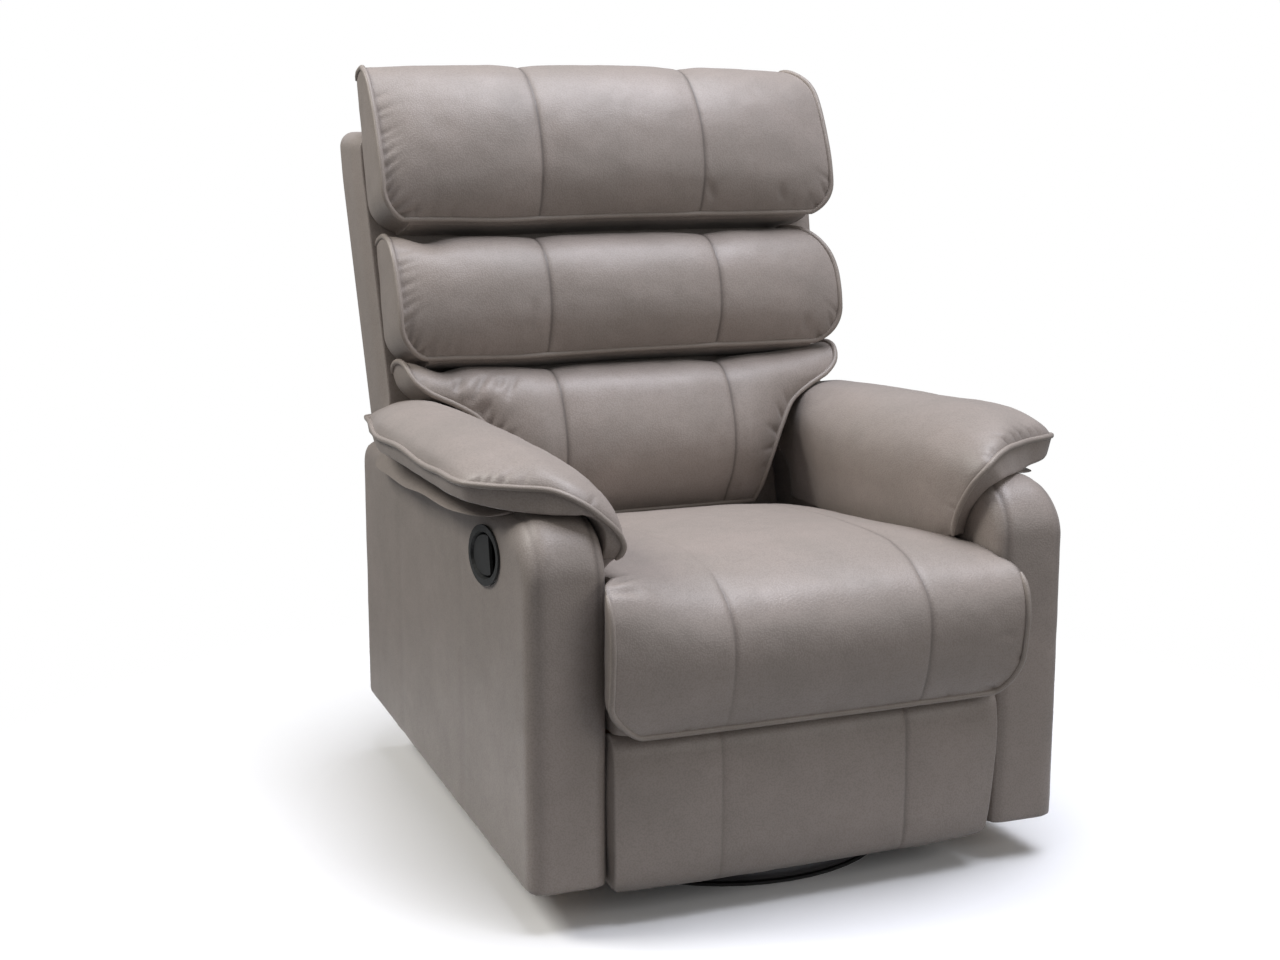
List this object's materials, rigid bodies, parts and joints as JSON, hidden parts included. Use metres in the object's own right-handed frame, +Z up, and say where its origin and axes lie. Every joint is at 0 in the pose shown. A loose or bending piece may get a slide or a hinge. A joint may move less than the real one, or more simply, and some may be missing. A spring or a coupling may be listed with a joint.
{
  "type": "swivel rocker recliner",
  "caption": "Padded leatherette armchair on a round swivel base that rocks, reclines its pillow back and raises a folding footrest by a release cup in one arm.",
  "frame": {"origin": "centre of the overall box at floor level, with the back upright and the footrest folded", "axes": "+Z up, -Y the way the sitter faces, +X towards the sitter's left arm"},
  "size_m": [0.854, 0.9304, 1.0698],
  "materials": {
    "taupe_leatherette": "soft sheen, fine grain",
    "black_steel": "black powder coat",
    "zinc_steel": "zinc plated",
    "spring_steel": "oiled",
    "timber": "sawn",
    "deck_cloth": "woven, matt",
    "black_plastic": "satin moulded"
  },
  "bodies": {
    "base": {"floor_glide_ring": "black_plastic", "base_ring": "black_steel", "base_cross": "black_steel", "swivel_lower_plate": "zinc_steel", "swivel_bearing": "zinc_steel", "swivel_pin": "zinc_steel"},
    "swivel_frame": {"swivel_upper_plate": "black_steel", "swivel_cross_rail_front": "black_steel", "swivel_cross_rail_rear": "black_steel", "rocker_rail_left": "black_steel", "rocker_rail_right": "black_steel", "rocker_spring_left": "spring_steel", "rocker_spring_right": "spring_steel"},
    "chair": {"rocker_cam_left": "black_steel", "rocker_cam_right": "black_steel", "mechanism_cross_bar_front": "black_steel", "mechanism_cross_bar_rear": "black_steel", "mechanism_plate_left": "zinc_steel", "mechanism_plate_right": "zinc_steel", "seat_side_rail_left": "timber", "seat_side_rail_right": "timber", "seat_front_rail": "timber", "seat_rear_rail": "timber", "seat_deck": "deck_cloth", "seat_cushion": "taupe_leatherette", "arm_cover_left": "taupe_leatherette", "arm_cover_right": "taupe_leatherette", "arm_frame_left": "timber", "arm_frame_right": "timber", "arm_pad_left": "taupe_leatherette", "arm_pad_right": "taupe_leatherette", "arm_flap_left": "taupe_leatherette", "arm_flap_right": "taupe_leatherette", "release_cup": "black_plastic", "release_cable": "black_plastic"},
    "release": {"release_paddle": "black_plastic"},
    "footrest_main_links": {"footrest_drive_shaft": "black_steel", "footrest_main_link_left": "zinc_steel", "footrest_main_link_right": "zinc_steel"},
    "footrest_cross_links": {"footrest_cross_link_left": "zinc_steel", "footrest_cross_link_right": "zinc_steel"},
    "footrest_rear_links": {"footrest_rear_link_left": "zinc_steel", "footrest_rear_link_right": "zinc_steel"},
    "footrest_front_links": {"footrest_front_link_left": "zinc_steel", "footrest_front_link_right": "zinc_steel"},
    "footrest": {"footrest_bracket_left": "zinc_steel", "footrest_bracket_right": "zinc_steel", "footrest_board": "timber", "footrest_pad": "taupe_leatherette"},
    "back": {"back_bracket_left": "zinc_steel", "back_bracket_right": "zinc_steel", "back_frame": "timber", "back_shell": "taupe_leatherette", "headrest_pillow": "taupe_leatherette", "middle_back_pillow": "taupe_leatherette", "lumbar_pillow": "taupe_leatherette"}
  },
  "joints": [
    {"name": "swivel", "type": "hinge", "parent": "base", "child": "swivel_frame", "pos_m": [0, -0.115, 0.05], "axis": [0, 0, 1], "continuous": true},
    {"name": "rock", "type": "hinge", "parent": "swivel_frame", "child": "chair", "pos_m": [0, -0.06, 0.2475], "axis": [-1, 0, 0], "range_deg": [-3, 9], "stiffness_Nm_per_rad": 650, "springref_deg": -2.86, "deforming": ["rocker_spring_left", "rocker_spring_right"]},
    {"name": "recline", "type": "hinge", "parent": "chair", "child": "back", "pos_m": [0, 0.19, 0.285], "axis": [-1, 0, 0], "range_deg": [0, 36], "stiffness_Nm_per_rad": 32, "springref_deg": -57.3},
    {"name": "footrest_fold", "type": "hinge", "parent": "chair", "child": "footrest_main_links", "pos_m": [0, -0.318, 0.245], "axis": [-1, 0, 0], "range_deg": [0, 132.45]},
    {"name": "footrest_cross_fold", "type": "hinge", "parent": "footrest_main_links", "child": "footrest_cross_links", "pos_m": [0, -0.18009, 0.14559], "axis": [-1, 0, 0], "range_deg": [-83.89, 0.5]},
    {"name": "footrest_panel_turn", "type": "hinge", "parent": "footrest_cross_links", "child": "footrest", "pos_m": [0, -0.35, 0.14], "axis": [-1, 0, 0], "range_deg": [-0.5, 41.45]},
    {"name": "footrest_rear_fold", "type": "hinge", "parent": "chair", "child": "footrest_rear_links", "pos_m": [0, -0.28709, 0.24], "axis": [-1, 0, 0], "range_deg": [-0.5, 128.46]},
    {"name": "footrest_front_fold", "type": "hinge", "parent": "footrest_main_links", "child": "footrest_front_links", "pos_m": [0, -0.15981, 0.13098], "axis": [-1, 0, 0], "range_deg": [-77.7, 0.5]},
    {"name": "release", "type": "hinge", "parent": "chair", "child": "release", "pos_m": [-0.3753, -0.20298, 0.44179], "axis": [0, -0.1702, -0.9854], "range_deg": [0, 25], "stiffness_Nm_per_rad": 0.4, "springref_deg": -20.05}
  ],
  "couplings": [
    {"joint": "footrest_cross_fold", "follows": "footrest_fold", "ratio": -0.62963},
    {"joint": "footrest_panel_turn", "follows": "footrest_fold", "ratio": 0.30914},
    {"joint": "footrest_rear_fold", "follows": "footrest_fold", "ratio": 0.96609},
    {"joint": "footrest_front_fold", "follows": "footrest_fold", "ratio": -0.58287}
  ]
}
